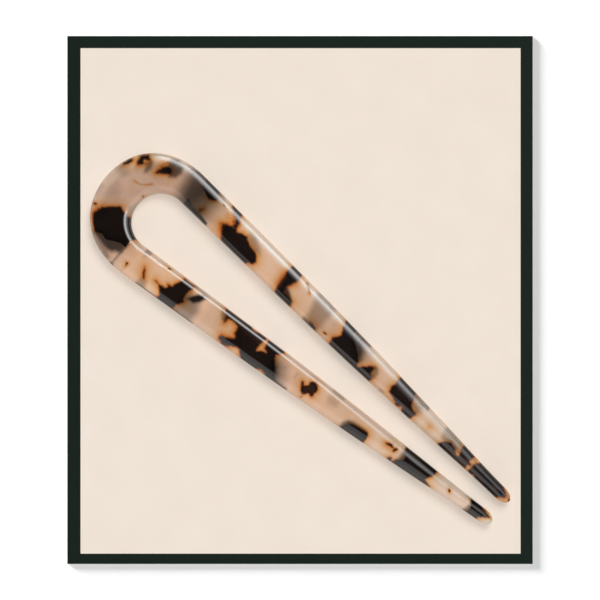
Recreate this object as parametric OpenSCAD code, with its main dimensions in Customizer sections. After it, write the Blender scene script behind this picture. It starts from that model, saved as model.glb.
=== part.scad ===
// A U-shaped hair pin of thick tortoiseshell acetate, lying diagonally on the
// plain card that it is sold on. X runs to the right across the card and Y up
// it. The origin is the middle of the card's back, and Z points out of its face.

/* [Hair pin] */
// Length from the crown of the bend to the tips of the prongs
pin_length = 127; // [105:0.5:136]
// Width over the outside of the bend
pin_width = 31.3; // [27:0.1:36]
// Width of the gap between the prongs where they leave the bend
gap_width = 14.2; // [10:0.1:17]
// Width of the band at the crown of the bend
crown_width = 10.3; // [8.5:0.1:13]
// Thickness of the sheet that the pin is cut from
pin_thickness = 4; // [3:0.1:5]
// Distance between the middles of the two tips
tip_spread = 6.6; // [5.5:0.1:9]
// How far the outer edge is rounded over, measured across the pin
outer_round = 2.4; // [1:0.1:3]
// How far the inner edge is rounded over, measured across the pin
inner_round = 1.9; // [1:0.1:2.5]
// Length of the rounded nose of each prong
nose_length = 3; // [1.5:0.1:5]

/* [Card] */
// Width of the card
card_width = 114.5; // [108:0.5:150]
// Height of the card
card_height = 129.9; // [124:0.5:160]
// Thickness of the board
card_thickness = 1; // [0.6:0.1:2]

/* [Pin on the card] */
// Turn of the pin's length from the card's bottom edge
pin_turn = -40.4; // [-48:0.2:-36]
// How far the middle of the pin lies to the right of the card's middle
pin_right = 0.8; // [-4:0.1:4]
// How far the middle of the pin lies above the card's middle
pin_up = -10.8; // [-14:0.1:8]
// Clearance between the underside of the pin and the face of the card
seat_gap = 0.05; // [0.02:0.01:0.2]

/* [Hidden] */

// The bend's inner edge is part of a circle, and each prong runs straight off it.
gap_radius = gap_width / 2;
prong_width = (pin_width - gap_width) / 2;
bend_radius = gap_radius + prong_width / 2;
bend_x = crown_width + gap_radius;

// The prong's middle line touches the bend's circle and ends at the tip.
reach = pin_length - bend_x;
to_tip = norm([reach, tip_spread / 2]);
lean = asin(bend_radius / to_tip) - atan2(tip_spread / 2, reach);
prong_length = sqrt(to_tip * to_tip - bend_radius * bend_radius);

// Down the prong: share of its length, share of prong_width, share of pin_thickness
AT = 0;
WIDE = 1;
THICK = 2;
PRONG_TABLE = [
    [0.00, 1.000, 1.00],
    [0.20, 0.955, 1.00],
    [0.40, 0.895, 1.00],
    [0.60, 0.760, 1.00],
    [0.80, 0.560, 0.97],
    [0.92, 0.425, 0.90],
    [1.00, 0.385, 0.83],
];

// The bend keeps its crown width this far round, then narrows into the prong.
crown_keeps_to = 25;

bend_rings = 32;
prong_rings = 18;
nose_rings = 5;
edge_steps = 5;
// Degrees round the nose at which a small end face closes it
nose_last = 84;
// Share of the width that stays flat where the two roundings would meet
least_flat = 0.08;

function ease(t) = let (c = min(1, max(0, t))) c * c * (3 - 2 * c);

// A value of the table at a share of the prong's length, eased between its rows
function slope_at(i, col) =
    let (
        lo = max(0, i - 1),
        hi = min(len(PRONG_TABLE) - 1, i + 1)
    )
    (PRONG_TABLE[hi][col] - PRONG_TABLE[lo][col])
        / (PRONG_TABLE[hi][AT] - PRONG_TABLE[lo][AT]);
function row_before(share) =
    max([for (i = [0 : len(PRONG_TABLE) - 2]) if (PRONG_TABLE[i][AT] <= share) i]);
function prong_share(share, col) =
    let (
        i = row_before(share),
        a = PRONG_TABLE[i],
        b = PRONG_TABLE[i + 1],
        run = b[AT] - a[AT],
        t = (share - a[AT]) / run
    )
    a[col] * (1 + 2 * t) * (1 - t) * (1 - t)
        + b[col] * t * t * (3 - 2 * t)
        + slope_at(i, col) * run * t * (1 - t) * (1 - t)
        - slope_at(i + 1, col) * run * t * t * (1 - t);

// One ring round the pin: middle [x, y], outward direction [x, y], width, thickness
function ring(middle, out, width, thick) =
    let (
        fit = min(1, (1 - least_flat) * width / (outer_round + inner_round)),
        outer = outer_round * fit,
        inner = inner_round * fit,
        step = 90 / edge_steps,
        quarter = [for (i = [0 : edge_steps]) [1 - cos(i * step), sin(i * step)]],
        back = [for (i = [edge_steps : -1 : 0]) quarter[i]],
        section = concat(
            [for (q = quarter) [width / 2 - outer * q[0], q[1] * thick / 2]],
            [for (q = back) [-width / 2 + inner * q[0], q[1] * thick / 2]],
            [for (i = [1 : edge_steps])
                [-width / 2 + inner * quarter[i][0], -quarter[i][1] * thick / 2]],
            [for (i = [0 : edge_steps - 1])
                [width / 2 - outer * back[i][0], -back[i][1] * thick / 2]]
        )
    )
    [for (p = section) [middle[0] + out[0] * p[0], middle[1] + out[1] * p[0], p[1]]];

// A ring of one prong, a distance down it, shrunk towards its middle on the nose
function prong_ring(side, down, shrink) =
    let (
        share = down / prong_length,
        middle = [
            bend_x + bend_radius * sin(lean) + down * cos(lean),
            side * (bend_radius * cos(lean) - down * sin(lean))
        ]
    )
    ring(
        middle,
        [sin(lean), side * cos(lean)],
        shrink * prong_width * prong_share(share, WIDE),
        shrink * pin_thickness * prong_share(share, THICK)
    );

// A ring of the bend, at an angle round it from the crown
function bend_ring(angle) =
    let (
        narrowed = ease((abs(angle) - crown_keeps_to) / (90 + lean - crown_keeps_to)),
        width = crown_width + (prong_width - crown_width) * narrowed,
        radius = gap_radius + width / 2,
        out = [-cos(angle), sin(angle)]
    )
    ring([bend_x, 0] + radius * out, out, width, pin_thickness);

// The rings of one prong, from beside the bend to the end of its nose
function prong(side) =
    let (straight = prong_length - nose_length)
    concat(
        [for (i = [1 : prong_rings]) prong_ring(side, straight * i / prong_rings, 1)],
        [for (i = [1 : nose_rings])
            let (a = nose_last * i / nose_rings)
            prong_ring(side, straight + nose_length * sin(a), cos(a))]
    );

function turned_round(list) = [for (i = [len(list) - 1 : -1 : 0]) list[i]];

module hair_pin() {
    bend_end = 90 + lean;
    rings = concat(
        turned_round(prong(-1)),
        [for (i = [0 : bend_rings]) bend_ring(bend_end * (2 * i / bend_rings - 1))],
        prong(1)
    );
    n = len(rings[0]);
    last = len(rings) - 1;
    faces = concat(
        [[for (k = [0 : n - 1]) k]],
        [for (r = [0 : last - 1], k = [0 : n - 1])
            let (a = r * n + k, b = r * n + (k + 1) % n)
            [a, a + n, b + n, b]],
        [[for (k = [n - 1 : -1 : 0]) last * n + k]]
    );
    middle_z = card_thickness + seat_gap + pin_thickness / 2;
    color([0.83, 0.66, 0.52])
        translate([pin_right, pin_up, middle_z])
            rotate([0, 0, pin_turn])
                translate([-pin_length / 2, 0, 0])
                    polyhedron([for (r = rings) each r], faces, convexity = 6);
}

module display_card() {
    color([0.94, 0.89, 0.84])
        translate([-card_width / 2, -card_height / 2, 0])
            cube([card_width, card_height, card_thickness]);
}

hair_pin();
display_card();
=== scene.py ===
"""A tortoiseshell acetate hair pin lying on its display card, with floor, lights and camera.

Lengths in the sections are in millimetres and go into the meshes in metres.
"""

import math

import bpy
import numpy as np
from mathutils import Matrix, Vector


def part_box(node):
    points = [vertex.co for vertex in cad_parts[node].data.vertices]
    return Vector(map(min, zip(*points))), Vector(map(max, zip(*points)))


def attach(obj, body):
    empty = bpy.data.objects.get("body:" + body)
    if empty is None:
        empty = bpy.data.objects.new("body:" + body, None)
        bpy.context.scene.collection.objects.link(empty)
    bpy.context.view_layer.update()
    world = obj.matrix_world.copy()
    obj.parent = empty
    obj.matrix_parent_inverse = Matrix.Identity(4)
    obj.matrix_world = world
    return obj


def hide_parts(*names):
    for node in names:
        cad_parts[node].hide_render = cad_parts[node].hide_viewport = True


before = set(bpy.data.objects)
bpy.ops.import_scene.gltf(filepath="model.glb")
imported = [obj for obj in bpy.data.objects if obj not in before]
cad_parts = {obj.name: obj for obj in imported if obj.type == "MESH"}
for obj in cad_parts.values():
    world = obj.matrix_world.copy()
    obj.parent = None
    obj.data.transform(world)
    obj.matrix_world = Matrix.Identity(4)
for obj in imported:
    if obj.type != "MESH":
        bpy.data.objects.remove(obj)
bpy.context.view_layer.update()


# The display card is a piece of stiff board, cut square, printed matt cream on its
# face with a narrow near-black border that runs out to the cut. Its back and its
# cut edges are the bare off-white board. The pin lies on its face.

MM = 0.001
CARD_SLOT = "printed_card"
CARD_LOW, CARD_HIGH = (np.array(corner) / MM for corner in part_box("display_card"))
CARD_EDGE_ROUND = 0.12
BORDER_LEFT = 3.27
BORDER_RIGHT = 3.0
BORDER_TOP = 3.01
BORDER_BOTTOM = 2.56


def srgb(red, green, blue):
    """A screen colour from 0 to 255 as linear light, by the sRGB curve."""
    c = np.array([red, green, blue]) / 255
    linear = np.where(c <= 0.04045, c / 12.92, ((c + 0.055) / 1.055) ** 2.4)
    return (*linear.tolist(), 1.0)


def mesh_piece(name, points, faces):
    """A smooth-shaded object from points in millimetres and faces of point numbers."""
    mesh = bpy.data.meshes.new(name)
    mesh.from_pydata((points * MM).tolist(), [], faces)
    mesh.polygons.foreach_set("use_smooth", np.ones(len(mesh.polygons), bool))
    piece = bpy.data.objects.new(name, mesh)
    bpy.context.scene.collection.objects.link(piece)
    return piece


def grid_faces(rows, columns, first=0, turned=False):
    """Four-sided faces between the points of a grid numbered row by row."""
    r, c = np.meshgrid(np.arange(rows - 1), np.arange(columns - 1), indexing="ij")
    a = (first + r * columns + c).ravel()
    quads = np.stack([a, a + 1, a + columns + 1, a + columns], axis=1)
    return (quads[:, ::-1] if turned else quads).tolist()


def card_stations(low, high):
    """Places across the card: an eased row over each rounded edge and even steps between."""
    steps = 5
    between = 24
    over_edge = CARD_EDGE_ROUND * (1 - np.cos(np.linspace(0, math.pi / 2, steps)))
    middle = np.linspace(low + CARD_EDGE_ROUND, high - CARD_EDGE_ROUND, between)
    return np.concatenate([low + over_edge, middle[1:-1], high - over_edge[::-1]])


def card_sheet(x, y, face, inward):
    """One face of the card: flat, and dropping by a quarter circle within the edge round."""
    to_edge = np.minimum(
        np.minimum(x - CARD_LOW[0], CARD_HIGH[0] - x), np.minimum(y - CARD_LOW[1], CARD_HIGH[1] - y)
    )
    short = np.clip(1 - to_edge / CARD_EDGE_ROUND, 0, 1)
    drop = CARD_EDGE_ROUND * (1 - np.sqrt(1 - short**2))
    return np.stack([x, y, face + inward * drop], axis=-1).reshape(-1, 3)


def display_card():
    """Two card sheets on one grid, face and back, joined by a wall round the cut."""
    xs = card_stations(CARD_LOW[0], CARD_HIGH[0])
    ys = card_stations(CARD_LOW[1], CARD_HIGH[1])
    y, x = np.meshgrid(ys, xs, indexing="ij")
    rows, columns = x.shape
    points = np.concatenate(
        [card_sheet(x, y, CARD_HIGH[2], -1), card_sheet(x, y, CARD_LOW[2], 1)]
    )
    number = np.arange(rows * columns).reshape(rows, columns)
    rim = np.concatenate(
        [number[0, :-1], number[:-1, -1], number[-1, :0:-1], number[:0:-1, 0]]
    )
    after = np.roll(rim, -1)
    below = rows * columns
    wall = np.stack([rim, rim + below, after + below, after], axis=1).tolist()
    faces = grid_faces(rows, columns) + grid_faces(rows, columns, below, turned=True) + wall
    return mesh_piece("display_card_printed", points, faces)


class Ink:
    """One socket of a node tree. Arithmetic on it adds Math nodes."""

    def __init__(self, wiring, socket):
        self.wiring = wiring
        self.socket = socket

    def _math(self, operation, first, second):
        return self.wiring.node("ShaderNodeMath", {"operation": operation}, {0: first, 1: second})

    def __add__(self, other):
        return self._math("ADD", self, other)

    def __sub__(self, other):
        return self._math("SUBTRACT", self, other)

    def __rsub__(self, other):
        return self._math("SUBTRACT", other, self)

    def __mul__(self, other):
        return self._math("MULTIPLY", self, other)

    def __truediv__(self, other):
        return self._math("DIVIDE", self, other)

    def lesser(self, other):
        return self._math("MINIMUM", self, other)


class Wiring:
    """The node tree of a material or of the world."""

    def __init__(self, owner):
        owner.use_nodes = True
        self.owner = owner
        self.nodes = owner.node_tree.nodes
        self.links = owner.node_tree.links

    def feed(self, node, sockets):
        """Sets a node's sockets to values, or links them from inks."""
        for key, value in sockets.items():
            if isinstance(value, Ink):
                self.links.new(value.socket, node.inputs[key])
            else:
                node.inputs[key].default_value = value

    def node(self, kind, settings=None, sockets=None, out=0):
        """Adds a node: its settings first, then the values or links of its sockets."""
        node = self.nodes.new(kind)
        for key, value in (settings or {}).items():
            if key == "stops":
                self.place_stops(node.color_ramp.elements, value)
            else:
                setattr(node, key, value)
        self.feed(node, sockets or {})
        return Ink(self, node.outputs[out])

    @staticmethod
    def place_stops(elements, stops):
        """Gives a ramp its stops, each a place from 0 to 1 and a colour."""
        while len(elements) < len(stops):
            elements.new(0.5)
        for element, (place, colour) in zip(elements, stops):
            element.position = place
            element.color = colour

    def xyz(self, vector):
        """The three numbers of a vector."""
        return [self.node("ShaderNodeSeparateXYZ", None, {0: vector}, out=i) for i in range(3)]

    def point(self):
        """Where a point of the piece lies, in millimetres."""
        place = self.node("ShaderNodeTexCoord", out="Object")
        return self.node(
            "ShaderNodeVectorMath", {"operation": "SCALE"}, {0: place, "Scale": 1 / MM}
        )

    def noise(self, point, size, detail=2.0, roughness=0.5):
        """Cloudy noise about 0.5, with features about size millimetres across."""
        return self.node(
            "ShaderNodeTexNoise",
            None,
            {"Vector": point, "Scale": 1 / size, "Detail": detail, "Roughness": roughness},
        )

    def ease(self, value, start, end, rise="SMOOTHSTEP"):
        """0 at start and 1 at end, held beyond them, with an eased or a straight rise between."""
        if start > end:
            return 1 - self.ease(value, end, start, rise)
        return self.node(
            "ShaderNodeMapRange", {"interpolation_type": rise}, {0: value, 1: start, 2: end}
        )

    def blend(self, share, under, over):
        """A colour that goes from under to over as share goes from 0 to 1."""
        return self.node(
            "ShaderNodeMix", {"data_type": "RGBA"}, {0: share, 6: under, 7: over}, out=2
        )

    def span(self, value, starts, full, wanes, ends):
        """1 between full and wanes, easing to 0 at starts and at ends."""
        return self.ease(value, starts, full) * self.ease(value, ends, wanes)

    def ramp(self, value, stops):
        """A colour read from stops, each a value and a colour, in straight runs between them."""
        first, last = stops[0][0], stops[-1][0]
        reach = last - first
        placed = [((at - first) / reach, colour) for at, colour in stops]
        share = (value - first) / reach
        return self.node("ShaderNodeValToRGB", {"stops": placed}, {0: share})

    def through(self, colour, filtered):
        """What a filter lets through of a colour: the two are multiplied."""
        return self.node(
            "ShaderNodeMix",
            {"data_type": "RGBA", "blend_type": "MULTIPLY"},
            {0: 1.0, 6: colour, 7: filtered},
            out=2,
        )

    def bump(self, height, depth, strength):
        """A normal pushed about by height, whose full range is depth millimetres."""
        return self.node(
            "ShaderNodeBump",
            None,
            {"Strength": strength, "Distance": depth * MM, "Height": height},
        )


def printed_card_finish():
    """Cream ink inside the border and near-black ink on it, over board with a fine tooth.

    The ink ends about a tenth of a millimetre down the rounded edge. The border's line
    is a little ragged with the tooth.
    """
    cream = srgb(228, 216, 204)
    warmer_cream = srgb(226, 214, 201)
    near_black = srgb(22, 30, 25)
    board = srgb(216, 208, 194)
    fleck = srgb(176, 164, 146)
    tooth_size, fibre_size, mottle_size = 0.35, 1.1, 9.0
    ragged_by, soft_by = 0.08, 0.04
    ink_ends, ink_full = CARD_HIGH[2] - 0.11, CARD_HIGH[2] - 0.07
    wiring = Wiring(bpy.data.materials.new(CARD_SLOT))
    point = wiring.point()
    x, y, z = wiring.xyz(point)
    tooth = wiring.noise(point, tooth_size, detail=3)
    mottle = wiring.noise(point, mottle_size)
    fibre = wiring.noise(point, fibre_size, detail=4, roughness=0.7)
    inside = (x - (CARD_LOW[0] + BORDER_LEFT)).lesser((CARD_HIGH[0] - BORDER_RIGHT) - x)
    inside = inside.lesser(y - (CARD_LOW[1] + BORDER_BOTTOM))
    inside = inside.lesser((CARD_HIGH[1] - BORDER_TOP) - y)
    panel = wiring.ease(inside + (tooth - 0.5) * ragged_by, -soft_by, soft_by)
    cream_ink = wiring.blend(wiring.ease(mottle, 0.3, 0.7), cream, warmer_cream)
    ink = wiring.blend(panel, near_black, cream_ink)
    bare = wiring.blend(wiring.ease(fibre, 0.6, 0.8), board, fleck)
    printed = wiring.ease(z, ink_ends, ink_full)
    wiring.feed(
        wiring.nodes["Principled BSDF"],
        {
            "Base Color": wiring.blend(printed, bare, ink),
            "Roughness": 0.72 - printed * 0.12 + (tooth - 0.5) * 0.1,
            "Normal": wiring.bump(tooth + fibre * 0.5, 0.02, 0.25),
            "Specular IOR Level": 0.03,
        },
    )
    return wiring.owner


card = display_card()
card.data.materials.append(printed_card_finish())
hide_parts("display_card")
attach(card, "root")


# The hair pin is sawn from one sheet of cellulose acetate, tumbled until its edges
# are round and polished: a bend, and two prongs that taper to blunt noses. The
# dark blots go through the milky blond sheet, sharp near the top and soft deeper.

PIN_SLOT = "tortoise_acetate"
PIN_LOW, PIN_HIGH = (np.array(corner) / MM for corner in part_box("hair_pin"))
PIN_LENGTH = 127.0
PIN_WIDTH = 31.3
PIN_THICKNESS = PIN_HIGH[2] - PIN_LOW[2]
GAP_WIDTH = 14.2
CROWN_WIDTH = 10.3
CROWN_KEEPS_TO = math.radians(25)
TIP_SPREAD = 6.6
NOSE_LENGTH = 3.0
OUTER_ROUND = 2.4
INNER_ROUND = 1.9
BEND_INNER_ROUND = 1.9
LEAST_FLAT = 0.1
PIN_TURN = math.radians(-40.4)
PIN_MIDDLE = np.array([0.8, -10.8])

# Where the big light panel stands that the polish mirrors, seen from the pin
PANEL_AZIMUTH = math.radians(35)

# The prong's line touches the bend's middle arc, and its tip stands half the spread aside
GAP_RADIUS = GAP_WIDTH / 2
PRONG_WIDTH = (PIN_WIDTH - GAP_WIDTH) / 2
BEND_RADIUS = GAP_RADIUS + PRONG_WIDTH / 2
BEND_X = CROWN_WIDTH + GAP_RADIUS
TO_TIP = math.hypot(PIN_LENGTH - BEND_X, TIP_SPREAD / 2)
LEAN = math.asin(BEND_RADIUS / TO_TIP) - math.atan2(TIP_SPREAD / 2, PIN_LENGTH - BEND_X)
PRONG_LENGTH = math.sqrt(TO_TIP**2 - BEND_RADIUS**2)

# Down the prong: share of its length, share of its width, share of its thickness, share
# of the inner round, and the powers of the outer and the inner edge. An ellipse has a
# power of 2. An edge with a lower one breaks more crisply from the flat.
PRONG_TABLE = np.array(
    [
        [0.00, 1.000, 1.00, 0.90, 2.0, 1.6],
        [0.08, 0.982, 1.00, 0.85, 2.0, 1.8],
        [0.20, 0.955, 1.00, 0.82, 2.0, 1.9],
        [0.40, 0.895, 1.00, 0.80, 2.0, 1.9],
        [0.60, 0.760, 1.00, 0.90, 2.0, 1.7],
        [0.80, 0.560, 0.97, 1.10, 1.9, 1.5],
        [0.92, 0.425, 0.90, 1.22, 1.7, 1.5],
        [1.00, 0.385, 0.83, 1.25, 1.7, 1.5],
    ]
)


def prong_share(share, column):
    """A column of the prong table, eased by a cubic through its rows."""
    at, value = PRONG_TABLE[:, 0], PRONG_TABLE[:, column]
    low = np.maximum(np.arange(len(at)) - 1, 0)
    high = np.minimum(np.arange(len(at)) + 1, len(at) - 1)
    slope = (value[high] - value[low]) / (at[high] - at[low])
    i = np.clip(np.searchsorted(at, share, "right") - 1, 0, len(at) - 2)
    run = at[i + 1] - at[i]
    t = (share - at[i]) / run
    return (
        value[i] * (1 + 2 * t) * (1 - t) ** 2
        + value[i + 1] * t**2 * (3 - 2 * t)
        + slope[i] * run * t * (1 - t) ** 2
        - slope[i + 1] * run * t**2 * (1 - t)
    )


def eased(t):
    """The cubic ease of a share t: three times its square less twice its cube."""
    return t**2 * (3 - 2 * t)


def prong_stations(side):
    """Middle, outward direction, width, thickness, inner round and powers down one prong.

    The prong runs straight. Over its nose both sizes shrink as the cosine of an
    angle while the way down grows as its sine, which makes a half ellipsoid.
    """
    straight = PRONG_LENGTH - NOSE_LENGTH
    body = np.linspace(0, straight, 352)[1:]
    nose = np.linspace(0, math.radians(86), 14)[1:]
    down = np.concatenate([body, straight + NOSE_LENGTH * np.sin(nose)])
    shrink = np.concatenate([np.ones_like(body), np.cos(nose)])
    x = BEND_X + BEND_RADIUS * math.sin(LEAN) + down * math.cos(LEAN)
    y = side * (BEND_RADIUS * math.cos(LEAN) - down * math.sin(LEAN))
    out = np.tile([math.sin(LEAN), side * math.cos(LEAN)], (len(down), 1))
    share = down / PRONG_LENGTH
    width = shrink * PRONG_WIDTH * prong_share(share, 1)
    thick = shrink * PIN_THICKNESS * prong_share(share, 2)
    inner = INNER_ROUND * prong_share(share, 3)
    powers = [prong_share(share, 4), prong_share(share, 5)]
    return np.column_stack([x, y, out, width, thick, inner, *powers])


def bend_stations():
    """The same columns round the bend: its sizes ease from the crown's to the prong's."""
    end = math.pi / 2 + LEAN
    angle = np.linspace(-end, end, 184)
    past_crown = (np.abs(angle) - CROWN_KEEPS_TO) / (end - CROWN_KEEPS_TO)
    to_prong = eased(np.clip(past_crown, 0, 1))
    width = CROWN_WIDTH + (PRONG_WIDTH - CROWN_WIDTH) * to_prong
    inner = BEND_INNER_ROUND + (INNER_ROUND * PRONG_TABLE[0, 3] - BEND_INNER_ROUND) * to_prong
    out = np.stack([-np.cos(angle), np.sin(angle)], axis=1)
    middle = np.array([BEND_X, 0]) + (GAP_RADIUS + width / 2)[:, None] * out
    rest = np.tile([PIN_THICKNESS, *PRONG_TABLE[0, 4:]], (len(angle), 1))
    return np.column_stack([middle, out, width, rest[:, 0], inner, rest[:, 1:]])


def section_columns():
    """Round the section: share across the flat, cosine over the outer and inner edge, sine.

    The section is flat on both faces, and a quarter turn goes over each edge.
    """
    flat = np.linspace(0, 1, 22)
    arc = np.linspace(0, math.pi / 2, 13)[::-1]
    flat_zero, arc_zero = np.zeros_like(flat), np.zeros_like(arc)
    upside_down = [1, 1, 1, -1]
    top = np.stack([flat, flat_zero, flat_zero, flat_zero + 1], axis=1)
    over = np.stack([arc_zero + 1, np.cos(arc), arc_zero, np.sin(arc)], axis=1)[1:]
    under = (over * upside_down)[-2::-1]
    base = (top * upside_down)[::-1]
    back = np.stack([arc_zero, arc_zero, np.cos(arc), -np.sin(arc)], axis=1)[1:]
    up = (back * upside_down)[-2::-1]
    return np.concatenate([top, over, under, base, back, up])


def pin_points():
    """The section carried along the bend and both prongs, in the pin's own frame.

    Over an edge, the way across is the cosine and the height the sine, each raised to
    2 / power: an ellipse where the power is 2. Both rounds shrink where the section is
    too narrow for them. A fourth column holds the way in from the outer rim.
    """
    lower, upper = prong_stations(-1)[::-1], prong_stations(1)
    stations = np.concatenate([lower, bend_stations(), upper])
    middle, out = stations[:, None, :2], stations[:, None, 2:4]
    width, thick, inner, outer_power, inner_power = (stations[:, None, k] for k in range(4, 9))
    fit = np.minimum(1, (1 - LEAST_FLAT) * width / (OUTER_ROUND + inner))
    outer, inner = OUTER_ROUND * fit, inner * fit
    share, over, back, rise = section_columns().T
    power = outer_power * share + inner_power * (1 - share)
    across = (inner - width / 2) * (1 - share) + (width / 2 - outer) * share
    across = across + outer * over ** (2 / power) - inner * back ** (2 / power)
    z = np.sign(rise) * np.abs(rise) ** (2 / power) * thick / 2
    from_outer = width / 2 - across
    place = middle + out * across[..., None]
    return np.concatenate([place, z[..., None], from_outer[..., None]], axis=-1)


def hair_pin():
    """The carried section closed over each nose by a point, turned and laid on the card.

    It comes with its points in the pin's own frame, which the pattern is charted in.
    """
    grid = pin_points()
    rings, around = grid.shape[:2]
    poles = grid[[0, -1]].mean(axis=1)
    own = np.concatenate([grid.reshape(-1, 4), poles])
    ahead = np.array([math.cos(PIN_TURN), math.sin(PIN_TURN)])
    aside = np.array([-ahead[1], ahead[0]])
    row = PIN_MIDDLE + (own[:, :1] - PIN_LENGTH / 2) * ahead + own[:, 1:2] * aside
    z = (PIN_LOW[2] + PIN_HIGH[2]) / 2 + own[:, 2]
    ring, step = np.meshgrid(np.arange(rings - 1), np.arange(around), indexing="ij")
    a = (ring * around + step).ravel()
    b = (ring * around + (step + 1) % around).ravel()
    walls = np.stack([a, a + around, b + around, b], axis=1).tolist()
    k = np.arange(around)
    after = (k + 1) % around
    first_cap = np.stack([k, after, np.full(around, rings * around)], axis=1)
    last = (rings - 1) * around
    last_cap = np.stack([last + after, last + k, np.full(around, rings * around + 1)], axis=1)
    faces = walls + first_cap.tolist() + last_cap.tolist()
    return mesh_piece("hair_pin_acetate", np.column_stack([row, z]), faces), own


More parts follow.
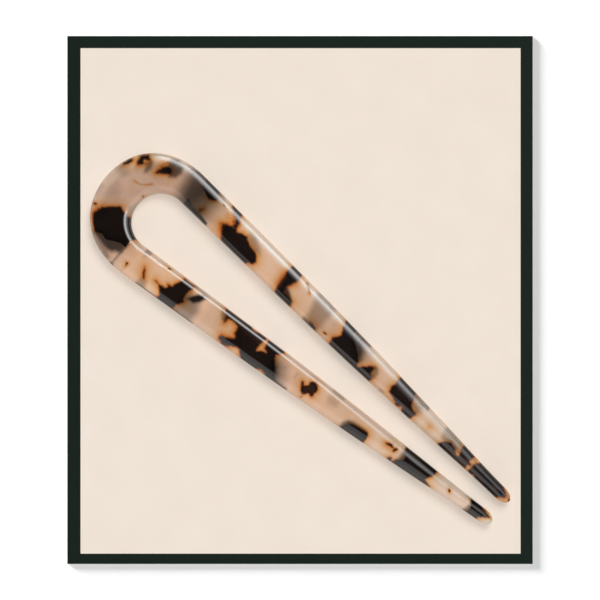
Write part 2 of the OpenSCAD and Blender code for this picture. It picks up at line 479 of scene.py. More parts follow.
# Charted: corners of each sharp-edged blot, in millimetres from the crown
# along the pin and from its middle line, which is plus towards the upper prong.
SHARP_BLOTS = {
    "rim sliver": [
        (1.0, 5.2), (1.4, 6.6), (1.7, 7.6), (2.6, 7.4), (2.7, 6.8), (2.1, 5.6), (1.5, 4.8),
    ],
    "hook": [
        (4.6, 10.9), (5.8, 10.0), (5.3, 9.4), (4.75, 9.25), (4.6, 8.9), (5.15, 8.4), (4.9, 7.8),
        (4.1, 7.05), (3.5, 7.6), (3.4, 8.7), (3.05, 9.3), (3.7, 10.1),
    ],
    "arrowhead": [
        (8.75, 8.4), (8.85, 9.6), (9.1, 10.6), (9.8, 11.4), (10.5, 11.75), (11.4, 11.7),
        (11.8, 11.0), (11.6, 10.3), (10.9, 9.7), (9.4, 8.8),
    ],
    "shoulder wedge": [
        (19.6, 15.9), (23.4, 15.6), (23.8, 14.5), (24.2, 13.9), (24.7, 12.9), (24.0, 12.4),
        (22.9, 11.9), (22.0, 12.3), (20.8, 12.9), (19.8, 13.3), (19.3, 14.2),
    ],
    "small hook": [
        (22.6, 8.75), (23.1, 9.0), (23.4, 9.5), (23.65, 9.25),
        (23.3, 8.8), (23.3, 8.2), (22.9, 8.3),
    ],
    "strap": [
        (28.3, 15.0), (31.4, 14.9), (31.9, 13.6), (32.6, 12.3), (32.9, 10.4), (31.5, 10.4),
        (31.6, 11.8), (31.2, 12.5), (30.4, 13.0), (29.4, 13.5), (28.5, 14.2),
    ],
    "long blot": [
        (29.1, 9.5), (30.3, 10.4), (31.8, 10.9), (32.7, 11.1), (33.4, 10.4), (34.5, 11.0),
        (36.0, 11.2), (36.5, 10.7), (38.2, 9.95), (40.0, 9.5), (41.0, 9.05), (41.7, 7.8),
        (41.5, 6.8), (40.2, 6.3), (39.9, 5.4), (31.8, 5.9), (30.9, 7.2), (30.0, 8.4),
    ],
    "crosswise blot": [
        (49.2, 13.4), (52.3, 13.1), (52.6, 11.2), (52.3, 10.1), (51.75, 8.7), (51.4, 7.9),
        (51.5, 6.6), (53.5, 6.3), (54.7, 6.1), (55.1, 5.4), (54.9, 4.5), (50.2, 4.7),
        (49.5, 6.2), (49.25, 7.5), (49.25, 9.3), (48.75, 10.9),
    ],
    "rim nub": [(61.2, 5.35), (62.2, 5.4), (63.4, 5.1), (63.5, 4.2), (61.4, 4.2)],
    "notched blot": [
        (67.6, 11.8), (67.9, 10.2), (68.15, 9.5), (69.2, 7.65), (67.85, 5.9), (68.2, 4.0),
        (68.2, 3.6), (77.2, 3.2), (77.5, 4.2), (76.7, 5.0), (76.6, 5.7), (75.5, 6.6), (73.9, 7.8),
        (72.3, 8.9), (71.3, 9.7), (71.4, 11.5),
    ],
    "fin": [
        (77.8, 4.9), (78.0, 5.2), (79.1, 6.3), (80.0, 7.05), (80.6, 7.0), (80.7, 5.4),
        (81.9, 4.4), (81.6, 3.2), (76.4, 3.4), (76.6, 4.2),
    ],
    "twin blot": [
        (86.9, 9.6), (92.3, 9.2), (92.8, 7.4), (93.15, 6.7), (93.4, 5.8), (94.0, 5.25),
        (95.4, 5.05), (95.8, 4.5), (95.4, 3.6), (95.1, 2.5), (92.4, 2.6), (92.2, 3.6),
        (91.8, 3.95), (91.4, 3.55), (90.5, 3.2), (89.8, 3.7), (88.3, 4.3), (87.1, 4.7),
        (86.55, 5.9), (86.95, 7.1), (86.8, 8.3),
    ],
    "low blot": [
        (104.4, 2.0), (104.5, 3.2), (105.3, 4.3), (106.7, 5.2), (107.4, 4.8), (108.6, 4.5),
        (109.5, 3.8), (110.1, 3.8), (109.9, 4.5), (109.5, 5.3), (109.5, 7.2), (113.2, 6.8),
        (113.5, 5.9), (113.2, 5.0), (113.0, 4.4), (114.0, 4.2), (114.0, 3.85), (113.4, 3.5),
        (113.5, 2.1),
    ],
    "upper tip": [
        (114.4, 5.2), (115.0, 5.5), (115.7, 6.4), (119.0, 6.3), (123.2, 5.7), (124.1, 4.95),
        (125.3, 4.2), (125.6, 3.85), (125.4, 3.1), (124.3, 2.4), (123.6, 1.4), (117.0, 1.4),
        (116.2, 2.45), (115.7, 2.5), (115.4, 1.6), (114.4, 1.9), (114.3, 3.4), (114.3, 4.2),
    ],
    "bend blot": [
        (7.6, -3.2), (8.9, -3.7), (10.4, -4.0), (12.2, -3.4), (13.2, -5.0), (16.2, -6.6),
        (15.6, -7.2), (14.9, -8.2), (14.9, -9.2), (15.15, -10.1), (13.4, -10.1), (11.8, -10.9),
        (10.0, -11.8), (8.5, -11.3), (6.8, -12.1), (4.9, -10.8), (3.4, -9.0), (3.9, -7.2),
        (4.3, -6.2), (6.0, -4.6),
    ],
    "thorn": [
        (21.7, -10.8), (22.3, -11.2), (23.4, -12.7),
        (23.7, -13.1), (23.2, -13.3), (22.2, -12.2),
    ],
    "spurred blot": [
        (30.9, -6.55), (34.2, -6.45), (34.2, -7.0), (34.0, -8.0), (33.8, -9.0), (33.9, -10.4),
        (34.8, -11.1), (34.1, -12.1), (33.6, -13.0), (33.5, -15.2), (28.5, -15.4), (28.65, -14.3),
        (28.7, -13.6), (27.8, -12.55), (27.0, -11.95), (25.7, -11.7), (25.8, -11.5),
        (27.3, -11.65), (28.9, -11.3), (29.1, -10.8), (28.6, -10.3), (29.9, -9.95),
        (30.0, -9.0), (30.5, -7.8), (30.9, -7.2),
    ],
    "saddle": [
        (42.9, -5.35), (44.2, -6.6), (44.6, -7.0), (44.85, -7.9), (45.3, -8.6),
        (45.55, -8.2), (45.6, -7.3), (46.5, -6.9), (48.3, -7.15), (48.7, -8.0), (48.9, -8.8),
        (49.7, -9.65), (49.4, -10.05), (48.1, -10.8), (46.8, -11.3), (46.5, -11.9),
        (46.8, -12.5), (48.5, -12.95), (49.7, -12.6), (50.6, -11.75), (51.5, -11.25),
        (52.5, -11.25), (53.1, -11.9), (54.0, -12.7), (54.1, -13.6), (58.0, -13.4),
        (58.0, -8.5), (56.7, -7.9), (55.8, -8.7), (55.6, -7.5), (55.7, -5.9), (55.8, -4.6),
        (54.0, -4.65), (53.2, -5.0), (52.4, -5.3), (51.6, -5.1), (51.0, -4.75), (47.0, -5.0),
    ],
    "saddle's far side": [
        (56.4, -4.2), (56.5, -5.9), (56.9, -7.0), (57.9, -7.4), (56.7, -7.9), (55.8, -8.7),
        (54.0, -10.0), (54.1, -13.6), (58.4, -13.3), (58.7, -12.2), (59.5, -11.55),
        (61.2, -11.5), (61.8, -12.0), (62.0, -12.9), (63.0, -12.8), (63.5, -11.2),
        (62.7, -10.0), (62.0, -9.0), (61.2, -8.1), (60.5, -7.1), (60.3, -6.4), (60.8, -5.5),
        (61.4, -4.6), (61.3, -3.9),
    ],
    "moth": [
        (71.9, -5.15), (72.7, -5.4), (73.55, -6.3), (73.6, -6.9), (73.35, -7.4), (73.6, -8.2),
        (73.3, -8.65), (72.3, -8.35), (72.0, -8.5), (71.7, -9.3), (71.15, -9.65), (70.4, -9.2),
        (69.8, -8.4), (69.1, -7.1), (69.5, -6.85), (70.15, -7.55), (70.7, -7.15), (71.0, -6.7),
        (70.75, -6.1), (71.15, -5.5),
    ],
    "block": [
        (83.5, -10.9), (83.7, -9.0), (84.4, -7.7), (85.8, -7.0), (87.4, -6.6), (89.5, -6.2),
        (90.15, -6.8), (90.45, -8.6), (90.1, -9.4), (88.5, -10.2),
    ],
    "left fleck": [
        (94.4, -5.35), (95.4, -4.7), (96.0, -4.4), (96.4, -4.8), (96.8, -5.1), (96.3, -5.3),
        (95.0, -5.55),
    ],
    "right fleck": [(97.4, -4.5), (97.9, -4.7), (97.5, -5.7), (97.1, -5.9), (97.0, -5.2)],
    "rim bead": [
        (97.2, -7.7), (97.6, -7.1), (98.1, -7.1), (98.4, -7.8), (98.6, -8.2), (97.6, -8.5),
    ],
    "low slab": [
        (98.9, -1.8), (99.1, -3.6), (99.6, -4.1), (100.4, -4.6), (100.5, -5.6), (99.6, -6.4),
        (98.9, -7.0), (98.8, -7.6), (98.3, -8.0), (98.3, -9.0), (109.3, -7.2), (109.8, -6.45),
        (108.6, -6.2), (107.8, -5.9), (108.0, -5.4), (108.5, -4.3), (108.75, -3.4), (108.9, -1.9),
    ],
    "lower tip": [
        (119.6, -1.1), (123.0, -1.2), (123.2, -2.0), (124.7, -2.35), (125.9, -2.8),
        (125.6, -3.1), (124.3, -4.0), (123.7, -4.6), (123.3, -5.6), (120.5, -5.8),
        (120.6, -3.9), (120.3, -3.2), (119.6, -2.5),
    ],
}

# Small flecks: along, across, length, breadth, turn in degrees
FLECKS = [
    (10.2, 2.1, 0.3, 0.3, 0),
    (26.7, 13.3, 1.2, 0.4, -8),
    (65.8, 5.45, 0.9, 0.4, 5),
    (126.8, 3.55, 0.6, 0.5, 0),
    (2.4, -6.85, 0.8, 0.5, 20),
    (17.8, -12.9, 0.6, 0.5, 0),
    (17.95, -13.4, 0.3, 0.6, 0),
    (26.6, -7.2, 0.9, 0.4, 5),
    (71.4, -10.2, 0.4, 0.4, 0),
    (114.0, -4.15, 0.9, 0.5, -50),
]

# Soft smoky clouds deeper in the sheet, which filter the light that comes back through
# them: how much, blur, corners
SMOKE = [
    (0.35, 1.2, [(0.4, 5.0), (2.6, 5.6), (3.8, 4.2), (3.4, 2.8), (1.8, 2.6), (0.2, 3.2)]),
    (0.1, 1.6, [(0.2, 3.4), (3.0, 3.0), (3.4, 0.0), (0.2, 0.0)]),
    (0.06, 2.5, [(4.0, 3.0), (4.5, 9.0), (8.0, 12.0), (13.0, 11.0), (12.0, 5.0), (8.0, 2.5)]),
    (0.68, 0.6, [
        (5.2, 10.3), (6.6, 10.2), (7.4, 8.8), (7.2, 7.2), (6.6, 6.7), (6.1, 7.6), (5.9, 8.8),
    ]),
    (0.85, 0.7, [
        (9.5, 13.6), (11.0, 14.6), (13.3, 14.1), (13.8, 12.5),
        (13.4, 10.7), (12.0, 9.8), (10.0, 11.4), (9.5, 12.4),
    ]),
    (0.84, 2.6, [(13.8, 17.5), (25.4, 17.0), (25.8, 5.4), (17.2, 4.4), (15.6, 10.0)]),
    (0.5, 2.4, [(16.6, 15.0), (21.8, 14.8), (22.2, 12.4), (21.6, 7.4), (17.4, 7.0), (16.2, 10.0)]),
    (0.4, 1.6, [(18.4, 14.0), (21.5, 13.8), (21.8, 11.6), (20.9, 9.6), (19.2, 9.0), (18.4, 11.4)]),
    (0.5, 0.8, [(16.5, 16.6), (24.0, 16.2), (24.0, 14.6), (16.5, 14.8)]),
    (1.0, 0.2, [
        (18.9, 8.9), (19.6, 8.8), (20.6, 8.3), (23.6, 8.0),
        (26.4, 7.3), (26.6, 6.2), (18.8, 6.4),
    ]),
    (0.22, 1.6, [(24.6, 14.0), (28.6, 13.6), (29.0, 9.6), (28.4, 7.0), (24.8, 7.2)]),
    (0.45, 0.8, [(35.8, 12.4), (37.8, 12.7), (40.6, 10.8), (41.2, 9.8), (39.8, 9.4), (36.8, 10.6)]),
    (0.94, 0.5, [(50.7, 8.4), (52.4, 7.8), (53.8, 6.9), (54.8, 6.0), (54.0, 5.2), (50.9, 5.8)]),
    (0.48, 1.0, [
        (58.0, 13.2), (58.3, 10.4), (59.0, 8.6), (59.5, 6.4),
        (59.6, 4.0), (63.8, 3.8), (64.2, 12.6),
    ]),
    (0.14, 1.2, [(63.4, 12.0), (67.4, 11.6), (67.6, 4.0), (63.4, 4.2)]),
    (0.6, 0.4, [(59.2, 5.2), (61.5, 5.3), (61.6, 4.0), (59.4, 4.2)]),
    (0.95, 1.3, [
        (69.0, 10.4), (74.0, 10.6), (76.4, 8.4), (77.2, 6.4),
        (77.0, 5.2), (75.0, 5.6), (71.0, 8.4),
    ]),
    (0.8, 0.25, [(70.5, 12.4), (76.6, 12.0), (76.6, 9.9), (70.5, 10.4)]),
    (0.3, 1.4, [(74.6, 10.2), (78.2, 9.6), (78.8, 7.4), (77.4, 6.2), (75.8, 7.4)]),
    (0.6, 0.5, [(80.3, 7.4), (81.4, 7.3), (82.2, 6.4), (82.3, 5.0), (81.6, 4.0), (80.3, 5.0)]),
    (0.3, 0.4, [(84.8, 4.1), (86.2, 4.0), (86.2, 3.2), (84.8, 3.2)]),
    (0.62, 0.3, [(92.3, 9.6), (97.4, 9.2), (97.4, 7.2), (92.6, 7.4)]),
    (0.6, 1.2, [(92.6, 7.2), (95.6, 7.0), (96.2, 5.8), (95.6, 5.0), (93.2, 5.3)]),
    (0.52, 0.6, [(103.2, 8.4), (109.0, 7.8), (109.0, 6.0), (103.6, 6.4)]),
    (0.45, 0.7, [(103.4, 6.5), (109.6, 6.3), (109.2, 4.4), (105.2, 3.9), (104.0, 4.4)]),
    (0.55, 0.4, [
        (105.2, 5.0), (106.6, 5.7), (108.8, 5.3), (109.3, 4.6), (107.4, 4.6), (106.6, 5.0),
    ]),
    (0.22, 1.6, [(1.8, -1.0), (5.2, -0.6), (5.4, -3.0), (4.0, -4.8), (1.8, -4.2)]),
    (0.2, 0.6, [(-0.5, -1.8), (1.2, -2.0), (1.4, -5.0), (0.0, -5.4)]),
    (0.93, 0.75, [
        (5.2, -10.4), (6.8, -11.2), (8.5, -10.3), (10.0, -10.8), (11.8, -9.9),
        (13.4, -9.1), (15.1, -9.1), (15.1, -11.9), (14.4, -12.4), (13.6, -12.6),
        (13.2, -13.2), (11.8, -13.6), (10.0, -13.4), (8.0, -12.9), (6.6, -12.5),
    ]),
    (0.5, 0.6, [
        (4.6, -11.6), (7.0, -12.6), (9.4, -13.4), (12.6, -13.8),
        (13.6, -14.6), (13.0, -16.4), (7.0, -16.0), (3.8, -12.6),
    ]),
    (0.65, 0.3, [(14.75, -10.0), (15.2, -10.0), (15.15, -15.9), (14.65, -15.9)]),
    (0.8, 0.3, [(14.3, -15.2), (15.4, -15.2), (15.5, -16.2), (14.2, -16.2)]),
    (0.55, 0.3, [(19.2, -6.6), (20.9, -6.4), (20.9, -8.0), (19.3, -8.1)]),
    (0.2, 0.4, [(19.4, -8.3), (20.6, -8.3), (20.4, -9.4), (19.6, -9.4)]),
    (0.5, 0.7, [(22.5, -13.2), (24.4, -13.4), (25.6, -15.8), (22.5, -16.2)]),
    (0.9, 0.2, [
        (22.4, -15.0), (30.0, -14.4), (39.5, -13.65),
        (40.0, -14.6), (30.0, -15.6), (22.4, -16.2),
    ]),
    (0.5, 0.5, [(33.6, -7.6), (35.0, -7.8), (35.2, -10.6), (33.6, -10.6)]),
    (1.0, 0.5, [
        (34.6, -10.0), (35.0, -8.7), (36.0, -7.4), (37.3, -6.7),
        (38.2, -7.2), (37.6, -8.7), (36.4, -10.0),
    ]),
    (0.62, 1.3, [(33.4, -9.4), (37.6, -8.6), (38.8, -10.5), (39.0, -15.0), (33.2, -15.4)]),
    (0.35, 0.8, [(33.6, -5.4), (38.6, -5.0), (38.6, -6.6), (33.8, -6.8)]),
    (0.12, 2.0, [(39.5, -4.6), (46.5, -4.0), (46.0, -14.6), (39.5, -15.0)]),
    (0.6, 0.5, [(42.8, -6.4), (45.2, -6.4), (45.4, -8.4), (44.4, -8.4), (43.4, -7.4)]),
    (0.9, 0.4, [(61.8, -11.4), (67.5, -10.95), (67.6, -13.0), (61.8, -13.2)]),
    (1.0, 1.1, [(60.4, -7.0), (62.4, -8.2), (64.0, -10.2), (64.6, -12.6), (61.0, -12.6)]),
    (0.55, 1.7, [(60.6, -6.0), (64.2, -6.6), (66.2, -10.0), (67.4, -12.8), (61.0, -12.8)]),
    (0.25, 0.3, [(66.9, -6.2), (67.4, -6.2), (67.4, -7.8), (67.0, -7.8)]),
    (0.3, 1.0, [(76.4, -5.2), (79.4, -5.0), (79.6, -6.4), (77.8, -7.2), (76.6, -6.4)]),
    (0.35, 0.4, [(76.2, -3.0), (80.0, -2.8), (80.0, -4.2), (76.4, -4.3)]),
    (0.85, 0.6, [
        (83.3, -10.4), (83.2, -8.2), (84.0, -6.9), (85.4, -6.4),
        (88.6, -6.1), (89.6, -6.5), (86.0, -7.6), (84.6, -9.4),
    ]),
    (0.85, 0.7, [(99.2, -4.0), (101.4, -4.2), (101.2, -6.4), (98.9, -7.4), (99.3, -6.0)]),
    (0.5, 0.8, [(117.8, -1.4), (120.0, -1.2), (120.0, -2.3), (118.2, -2.4)]),
    (0.75, 0.5, [
        (118.9, -1.2), (120.6, -1.2), (121.4, -4.0),
        (121.4, -5.8), (119.4, -5.8), (119.9, -3.6),
    ]),
]

# Dark brown over a blot's black where it is thin: how much, blur, corners
UMBER = [
    (0.5, 0.4, [(49.0, 10.0), (49.8, 9.8), (50.0, 7.2), (49.8, 6.0), (49.3, 6.4)]),
    (0.3, 0.6, [(70.6, -5.6), (73.4, -6.2), (73.4, -8.3), (71.3, -9.5), (69.6, -7.2)]),
    (0.12, 1.0, [(87.4, 8.6), (92.0, 8.2), (92.6, 5.4), (88.0, 5.0)]),
    (0.7, 0.3, [(91.2, 4.4), (92.2, 4.4), (92.4, 3.2), (91.2, 3.2)]),
    (0.2, 0.8, [(105.0, 4.6), (109.0, 4.2), (113.0, 4.6), (113.0, 2.4), (105.2, 2.4)]),
    (0.2, 0.8, [(43.6, -6.4), (55.6, -5.6), (55.6, -7.2), (46.0, -7.0)]),
    (0.5, 0.4, [(112.0, 5.2), (113.4, 5.2), (113.4, 4.2), (112.2, 4.2)]),
    (0.5, 0.5, [(121.4, 3.9), (122.4, 4.2), (122.9, 3.6), (122.2, 3.1), (121.5, 3.2)]),
    (0.2, 0.5, [(114.4, 5.4), (117.0, 5.6), (117.4, 4.6), (114.6, 4.4)]),
]

# Pools of amber beside the blots: how far from a blot they look, and their corners
AMBER_POOLS = [
    (0.15, [(30.4, 13.1), (31.1, 12.6), (31.6, 11.8), (31.3, 11.2), (30.9, 11.6), (30.7, 12.4)]),
    (0.5, [(28.7, 12.6), (29.9, 12.8), (30.2, 11.6), (29.2, 11.2)]),
    (0.1, [(5.1, 9.1), (5.8, 9.2), (5.7, 8.4), (5.25, 8.3)]),
    (0.15, [(8.6, 10.3), (9.3, 12.3), (9.6, 12.4), (9.3, 11.2), (8.9, 10.2)]),
    (0.25, [(99.85, 4.55), (100.15, 4.85), (100.45, 4.55), (100.15, 4.25)]),
    (0.5, [(93.9, -5.4), (95.6, -5.8), (97.4, -5.9), (96.6, -6.3), (94.6, -6.1)]),
    (0.3, [(124.8, 5.4), (127.6, 4.6), (127.8, 2.8), (125.4, 2.4)]),
    (0.45, [(113.2, 6.6), (115.2, 6.2), (114.9, 2.2), (113.8, 2.2)]),
    (0.1, [(109.2, 5.3), (109.7, 5.2), (109.9, 3.8), (109.4, 3.8)]),
    (0.15, [(113.3, 6.9), (114.6, 6.8), (114.4, 1.8), (113.4, 1.9)]),
    (0.1, [(114.8, 2.5), (116.5, 2.6), (116.5, 1.9), (114.8, 2.0)]),
    (0.3, [(125.2, 5.0), (126.4, 4.6), (127.2, 3.6), (126.6, 2.5), (125.0, 1.9), (125.4, 3.4)]),
]

# Where the amber round the blots is wider or narrower: along, across, reach, change
WARMER = [
    (3.4, -8.0, 3.0, 0.5),
    (4.5, 9.0, 2.0, 0.4),
    (9.0, 10.6, 2.0, 0.4),
    (29.6, 8.4, 2.5, 0.6),
    (31.0, 12.3, 1.5, 0.6),
    (49.3, 8.8, 2.0, 0.7),
    (52.8, 10.5, 1.5, 0.2),
    (47.5, -9.5, 3.0, 0.4),
    (71.4, -7.4, 3.2, -0.4),
    (120.0, 4.0, 5.0, 0.2),
    (126.2, 4.0, 1.6, 0.6),
    (126.6, -4.2, 1.3, -0.75),
    (7.4, -3.0, 1.5, -0.2),
    (10.4, -12.6, 3.6, -0.95),
    (14.4, -10.6, 2.0, -0.9),
    (8.0, 4.6, 1.8, -0.6),
    (20.5, 12.5, 2.0, -0.7),
    (74.0, 8.2, 2.6, -0.85),
    (83.4, -7.4, 2.5, -0.7),
    (90.4, -8.3, 1.5, -0.45),
    (98.9, -5.0, 1.8, -0.6),
    (62.4, -10.0, 2.4, -0.8),
    (119.9, -3.2, 1.6, -0.7),
    (105.0, 3.4, 1.5, -0.2),
]

# Hair-fine streaks: half their width, then the points that they run through
STREAKS = [
    (0.02, [(6.2, 3.6), (7.7, 3.9), (9.1, 4.9), (9.9, 5.8)]),
    (0.16, [(54.5, 11.9), (55.6, 11.3), (56.8, 10.4)]),
    (0.08, [(112.8, 4.1), (114.2, 3.6)]),
]

# How far the pattern moves along and across the pin for each millimetre down
SHEET_SLANT_ALONG = 0.9
SHEET_SLANT_ACROSS = 0.6


def to_segments(x, y, start, end):
    """Distance of each place from the nearest of the straight runs from start to end."""
    run = end - start
    from_x = x[:, None] - start[:, 0]
    from_y = y[:, None] - start[:, 1]
    share = (from_x * run[:, 0] + from_y * run[:, 1]) / (run**2).sum(axis=1)
    share = np.clip(share, 0, 1)
    return np.hypot(from_x - share * run[:, 0], from_y - share * run[:, 1]).min(axis=1)


def to_outline(x, y, corners):
    """Distance of each place from a closed outline, minus inside it.

    A place is inside where a level line from it crosses the outline an odd number of times.
    """
    start = np.array(corners, float)
    end = np.roll(start, -1, axis=0)
    rise = end[:, 1] - start[:, 1]
    rise = np.where(rise == 0, 1e-9, rise)
    level = y[:, None]
    crosses = (start[:, 1] > level) != (end[:, 1] > level)
    crossing = start[:, 0] + (level - start[:, 1]) * (end[:, 0] - start[:, 0]) / rise
    odd = (crosses & (x[:, None] < crossing)).sum(axis=1) % 2 == 1
    far = to_segments(x, y, start, end)
    return np.where(odd, -far, far)


def to_fleck(x, y, fleck):
    """About the distance from an ellipse: its own radius less one, by its smaller half."""
    along, across, length, breadth, turn = fleck
    c, s = math.cos(math.radians(turn)), math.sin(math.radians(turn))
    u = ((x - along) * c + (y - across) * s) / (length / 2)
    v = ((y - across) * c - (x - along) * s) / (breadth / 2)
    return (np.hypot(u, v) - 1) * min(length, breadth) / 2


def to_streak(x, y, streak):
    """Distance from a line through the streak's points, less half its width."""
    half_width, through = streak
    through = np.array(through, float)
    return to_segments(x, y, through[:-1], through[1:]) - half_width


def to_pool(x, y, pool):
    """Distance from a pool's outline, none inside it, plus how far from a blot it looks."""
    level, corners = pool
    return np.maximum(to_outline(x, y, corners), 0) + level


def shaded(x, y, under, clouds):
    """How much soft clouds cover each place, from 0 to 1.

    Clouds lie over one another as filters do: what each lets through is multiplied.
    They lie deep in the sheet, so their edges are sharper where it is seen from beneath.
    """
    through = np.ones(len(x))
    for tone, blur, corners in clouds:
        reach = blur * (1 - 0.25 * under)
        t = np.clip(0.5 - to_outline(x, y, corners) / (2 * reach), 0, 1)
        through = through * (1 - tone * eased(t))
    return 1 - through


def painted_rim_light(own):
    """How strongly each point is painted paler by the outer rim, as painted light on the panel's
    side.

    It eases in between two depths off the rim, and out between two places along the pin.
    By direction it is 0.7 and 0.6 of the cosine between the rim's outward direction and
    the panel's, kept from 0 to 1. A prong's rim counts as facing straight to its side.
    """
    none_at, full_at = 3.2, 1.6
    wanes_from, gone_by = 60, 105
    x, y, from_outer = own[:, 0], own[:, 1], own[:, 3]
    outwards = np.arctan2(y, np.minimum(x - BEND_X, 0))
    facing = np.clip(0.7 + 0.6 * np.cos(outwards - (PANEL_AZIMUTH - PIN_TURN)), 0, 1)
    near = eased(np.clip((none_at - from_outer) / (none_at - full_at), 0, 1))
    ahead = eased(np.clip((gone_by - x) / (gone_by - wanes_from), 0, 1))
    return facing * near * ahead


def tortoise_pattern(own):
    """For each point of the pin: how far it is from a blot, and its other readings.

    The pattern goes through the sheet at a slant below its middle. A fleck's rim is
    a third as wide as a blot's. Warmth is 1, changed near some places by a bell curve.
    """
    under = np.clip(-own[:, 2], 0, None)
    x = own[:, 0] + SHEET_SLANT_ALONG * under
    y = own[:, 1] + SHEET_SLANT_ACROSS * under
    blot = [to_outline(x, y, corners) for corners in SHARP_BLOTS.values()]
    blot += [3 * to_fleck(x, y, fleck) for fleck in FLECKS]
    blot += [3 * to_streak(x, y, streak) for streak in STREAKS]
    warmth = np.ones(len(own))
    for along, across, reach, change in WARMER:
        warmth += change * np.exp(-((x - along) ** 2 + (y - across) ** 2) / reach**2)
    return {
        "blot": np.min(blot, axis=0),
        "pool": np.min([to_pool(x, y, pool) for pool in AMBER_POOLS], axis=0),
        "warmth": np.clip(warmth, 0.15, 2),
        "smoke": shaded(x, y, under, SMOKE),
        "umber": shaded(x, y, under, UMBER),
        # Painted light: paler by the outer rim on the light panel's side.
        "milk": painted_rim_light(own),
        "along": own[:, 0],
    }


def keep_reading(piece, name, values):
    """Stores one number per point of the piece's mesh."""
    attribute = piece.data.attributes.new(name, "FLOAT", "POINT")
    attribute.data.foreach_set("value", values.astype(np.float32))


# What the stain round a blot lets through of red, green and blue, by the distance from
# the blot's edge: black in it, orange at its edge, and amber that fades away outside
STAIN = [
    (-0.45, (0.012, 0.008, 0.007)),
    (-0.20, (0.11, 0.045, 0.018)),
    (-0.05, (0.42, 0.19, 0.06)),
    (0.10, (0.71, 0.385, 0.14)),
    (0.30, (0.86, 0.57, 0.275)),
    (0.55, (0.89, 0.695, 0.44)),
    (0.80, (0.91, 0.785, 0.58)),
    (1.30, (0.94, 0.875, 0.76)),
    (1.80, (0.965, 0.93, 0.86)),
    (2.80, (1.0, 1.0, 1.0)),
]


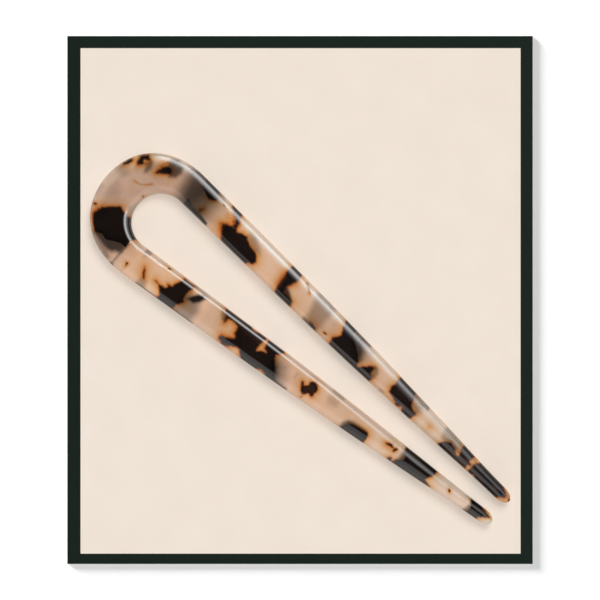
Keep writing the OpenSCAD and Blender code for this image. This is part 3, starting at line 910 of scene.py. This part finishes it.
def tortoise_acetate_finish():
    """Blond acetate under the blots' stain, their brown and the smoke, with a polish on it.

    The blond changes down the pin. Its sides are painted a little paler than the flat, as
    painted light, more so on the panel's side, and so are the rim on the panel's side and
    the bend's inner edge. Painted shade makes it dimmer where a side leans about 25 degrees
    to the light panel, whose gloss lies there, and the polish fades towards the tips on that
    side. A lean is the cosine between the surface's normal and a level direction: the panel's,
    or down the pin, which the bend's inner edge faces.
    """
    tones_along = [
        (0, srgb(180, 147, 127)),
        (13, srgb(181, 145, 122)),
        (19, srgb(206, 165, 132)),
        (26, srgb(213, 173, 141)),
        (45, srgb(210, 172, 143)),
        (57, srgb(203, 165, 135)),
        (67, srgb(201, 162, 134)),
        (75, srgb(208, 169, 140)),
        (83, srgb(198, 160, 131)),
        (93, srgb(208, 176, 152)),
        (104, srgb(206, 180, 158)),
        (112, srgb(208, 181, 161)),
        (119, srgb(209, 187, 171)),
        (127, srgb(214, 202, 192)),
    ]
    # The sheet's own milky tone, laid on in random clouds below; the rim's painted light uses its
    # own tone.
    milk = srgb(222, 192, 166)
    painted_side_light = srgb(204, 184, 170)
    rim_light_tone = srgb(210, 184, 163)
    hole_light_tone = srgb(216, 180, 152)
    painted_gloss_shade = (0.72, 0.82, 0.88, 1.0)
    umber = srgb(72, 42, 30)
    clear = (1.0, 1.0, 1.0, 1.0)
    thick_smoke = (0.045, 0.052, 0.07, 1.0)
    deep_smoke = (0.016, 0.016, 0.018, 1.0)
    ragged_size, ragged_by = 0.9, 0.55
    milk_size, milk_share = 4.0, 0.22
    side_light_share = 0.15
    panel_side_light_share = 0.3
    hole_light_share = 0.8
    warmth_gain = 1.2
    dulled_share = 0.79
    wiring = Wiring(bpy.data.materials.new(PIN_SLOT))
    point = wiring.point()
    reading = {
        name: wiring.node("ShaderNodeAttribute", {"attribute_name": name}, out="Fac")
        for name in ("blot", "pool", "warmth", "smoke", "umber", "milk", "along")
    }
    along, warmth = reading["along"], reading["warmth"]
    ragged = (wiring.noise(point, ragged_size, detail=3, roughness=0.6) - 0.5) * ragged_by
    milky = wiring.noise(point, milk_size)
    east, north, upright = wiring.xyz(wiring.node("ShaderNodeNewGeometry", out="Normal"))
    panel_lean = east * math.cos(PANEL_AZIMUTH) + north * math.sin(PANEL_AZIMUTH)
    tip_lean = east * math.cos(PIN_TURN) + north * math.sin(PIN_TURN)

    colour = wiring.ramp(along, tones_along)
    colour = wiring.blend(wiring.ease(milky, 0.35, 0.75) * milk_share, colour, milk)
    # Painted light: the sides are paler than the flat, and paler still where they face the light
    # panel.
    colour = wiring.blend(wiring.ease(upright, 0.85, 0.45) * side_light_share, colour, painted_side_light)
    panel_side_light = wiring.ease(panel_lean, 0.45, 0.75) * panel_side_light_share
    colour = wiring.blend(panel_side_light, colour, painted_side_light)
    # Painted light: the bend's inner edge, which faces down the pin, is paler near the bend.
    painted_hole_light = wiring.ease(tip_lean, 0.3, 0.85) * wiring.ease(along, 45, 25)
    colour = wiring.blend(painted_hole_light * hole_light_share, colour, hole_light_tone)
    # Painted light: paler by the outer rim where it faces the light panel.
    colour = wiring.blend(reading["milk"], colour, rim_light_tone)
    # Painted shade: dimmer and greyer where a side leans towards the light panel under its gloss,
    # fading out towards the tips.
    gloss_shade_share = wiring.span(panel_lean, 0.15, 0.38, 0.5, 0.75) * wiring.ease(along, 124, 102)
    colour = wiring.blend(gloss_shade_share, colour, wiring.through(colour, painted_gloss_shade))

    edge = (reading["blot"] / warmth).lesser(reading["pool"]) + ragged
    stain = wiring.ramp(edge, [(far, (*let, 1.0)) for far, let in STAIN])
    colour = wiring.through(colour, stain)
    colour = wiring.blend((warmth - 1) * warmth_gain, colour, wiring.through(colour, stain))
    colour = wiring.blend(reading["umber"] * wiring.ease(edge, -0.1, -0.5), colour, umber)
    smoke = wiring.blend(wiring.ease(reading["smoke"], 0.86, 1.0), thick_smoke, deep_smoke)
    colour = wiring.through(colour, wiring.blend(reading["smoke"], clear, smoke))

    dulled = wiring.ease(along, 56, 124) * dulled_share
    dulled = dulled * wiring.span(panel_lean, 0.0, 0.14, 0.65, 0.85)
    wiring.feed(
        wiring.nodes["Principled BSDF"],
        {
            "Base Color": colour,
            "Roughness": 0.5,
            "Specular IOR Level": 0.0,
            "Subsurface Weight": 0.5,
            "Subsurface Radius": (1.6, 0.9, 0.5),
            "Subsurface Scale": MM,
            "Coat Weight": 1 - dulled,
            "Coat Roughness": 0.06,
            "Coat IOR": 1.49,
        },
    )
    return wiring.owner


pin, own_points = hair_pin()
for reading_name, reading in tortoise_pattern(own_points).items():
    keep_reading(pin, reading_name, reading)
pin.data.materials.append(tortoise_acetate_finish())
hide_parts("hair_pin")
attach(pin, "root")


# The table under the card is plain white. It has a low light of its own, which makes it
# whiter than the card and throws the card's thin shadow to the lower right.

FLOOR_HALF = 1500.0
FLOOR_BELOW = 0.02


def floor_material():
    """Matt white laminate."""
    wiring = Wiring(bpy.data.materials.new("white_table"))
    wiring.feed(
        wiring.nodes["Principled BSDF"],
        {
            "Base Color": (0.55, 0.55, 0.55, 1.0),
            "Roughness": 0.9,
            "Specular IOR Level": 0.0,
        },
    )
    return wiring.owner


floor_corners = [[-1, -1, 0], [1, -1, 0], [1, 1, 0], [-1, 1, 0]]
floor_points = np.array(floor_corners) * FLOOR_HALF - [0, 0, FLOOR_BELOW]
floor = mesh_piece("white_table", floor_points, [[0, 1, 2, 3]])
floor.data.materials.append(floor_material())


# Studio light: an overhead light, a soft key from above the card's top edge, a fill from
# the lower left and a low light for the table, all kept out of the gloss. What the gloss
# sees is a bright panel to the upper right, a grey reflector below and a dark ceiling.

PANEL_TILT = 0.21
PANEL_GLOW = 10.6
REFLECTOR_AZIMUTH = math.radians(285)
REFLECTOR_GLOW = 1.6
CEILING_GLOW = 0.09
SHADING_GLOW = 0.12
BACKGROUND_GLOW = 1.0


def soft_sun(name, azimuth, elevation, spread, strength):
    """A far light that shines from azimuth and elevation and is spread wide, all in degrees."""
    light = bpy.data.lights.new(name, "SUN")
    light.energy = strength
    light.angle = math.radians(spread)
    lamp = bpy.data.objects.new(name, light)
    lamp.rotation_euler = (math.radians(90 - elevation), 0, math.radians(azimuth + 90))
    lamp.visible_glossy = False
    bpy.context.scene.collection.objects.link(lamp)
    return lamp


def studio_world():
    """What a ray sees beyond the table: white by sight, dim for shading, the panels in gloss.

    Heights are sines of the angle up. The panel is brightest at about 40 degrees up, dim
    at its foot and higher at its right end. Panel and reflector reach to either side as
    far as the cosine from their azimuth stays above about 0.6 and 0.45. The reflector's
    top edge rises with that cosine to 70 degrees. Only a mirrored ray that no diffuse
    bounce came before sees them.
    """
    panel_foot = 0.14
    reflector_top = 0.945
    wiring = Wiring(bpy.data.worlds.new("studio"))
    east, north, up = wiring.xyz(wiring.node("ShaderNodeTexCoord", out="Generated"))
    level = wiring.node(
        "ShaderNodeMath", {"operation": "SQRT"}, {0: east * east + north * north + 1e-6}
    )

    def towards(azimuth):
        return east * math.cos(azimuth) + north * math.sin(azimuth)

    def facing(azimuth):
        return towards(azimuth) / level

    height = up - towards(PANEL_AZIMUTH - math.pi / 2) * PANEL_TILT - 0.05
    panel = wiring.ease(facing(PANEL_AZIMUTH), 0.5, 0.7)
    panel = panel * (wiring.ease(height, 0.1, 0.54) * (1 - panel_foot) + panel_foot)
    panel = panel * wiring.ease(height, 0.955, 0.69, "LINEAR")
    below = facing(REFLECTOR_AZIMUTH)
    top_edge = (below * 0.65 + 0.51).lesser(reflector_top)
    reflector = wiring.ease(below, 0.32, 0.6) * wiring.ease(up - top_edge, 0.03, -0.03)
    gloss = panel * PANEL_GLOW + reflector * (REFLECTOR_GLOW - up * 0.5) + CEILING_GLOW
    seen, glossy, scattered = (
        wiring.node("ShaderNodeLightPath", out=name)
        for name in ("Is Camera Ray", "Is Glossy Ray", "Diffuse Depth")
    )
    mirrored = glossy * (1 - scattered.lesser(1.0))
    strength = seen * BACKGROUND_GLOW + mirrored * gloss + (1 - seen - mirrored) * SHADING_GLOW
    wiring.feed(wiring.nodes["Background"], {"Color": (1, 1, 1, 1), "Strength": strength})
    return wiring.owner


def only(name, piece):
    """A collection that holds one piece, for a light to be kept to."""
    collection = bpy.data.collections.new(name)
    collection.objects.link(piece)
    return collection


bpy.context.scene.world = studio_world()
soft_sun("overhead", azimuth=0, elevation=90, spread=8, strength=1.72)
key = soft_sun("key", azimuth=68, elevation=55, spread=35, strength=1.33)
key.light_linking.blocker_collection = only("shading_pin", pin)
fill = soft_sun("fill", azimuth=225, elevation=20, spread=40, strength=1.06)
fill.data.use_shadow = False
table_light = soft_sun("table_light", azimuth=141.2, elevation=14.3, spread=24, strength=10.8)
table_light.light_linking.receiver_collection = only("lit_table", floor)
table_light.light_linking.blocker_collection = only("shading_card", card)


# The camera looks straight down on the card through a long lens, as the photo does.

LENS = 200.0
SENSOR = 36.0
FRAME_WIDTH = 147.59

camera_data = bpy.data.cameras.new("camera")
camera_data.lens = LENS
camera_data.sensor_width = SENSOR
camera = bpy.data.objects.new("camera", camera_data)
camera.location = (0, 0, (CARD_HIGH[2] + FRAME_WIDTH * LENS / SENSOR) * MM)
bpy.context.scene.collection.objects.link(camera)
bpy.context.scene.camera = camera
bpy.context.scene.view_settings.view_transform = "Standard"
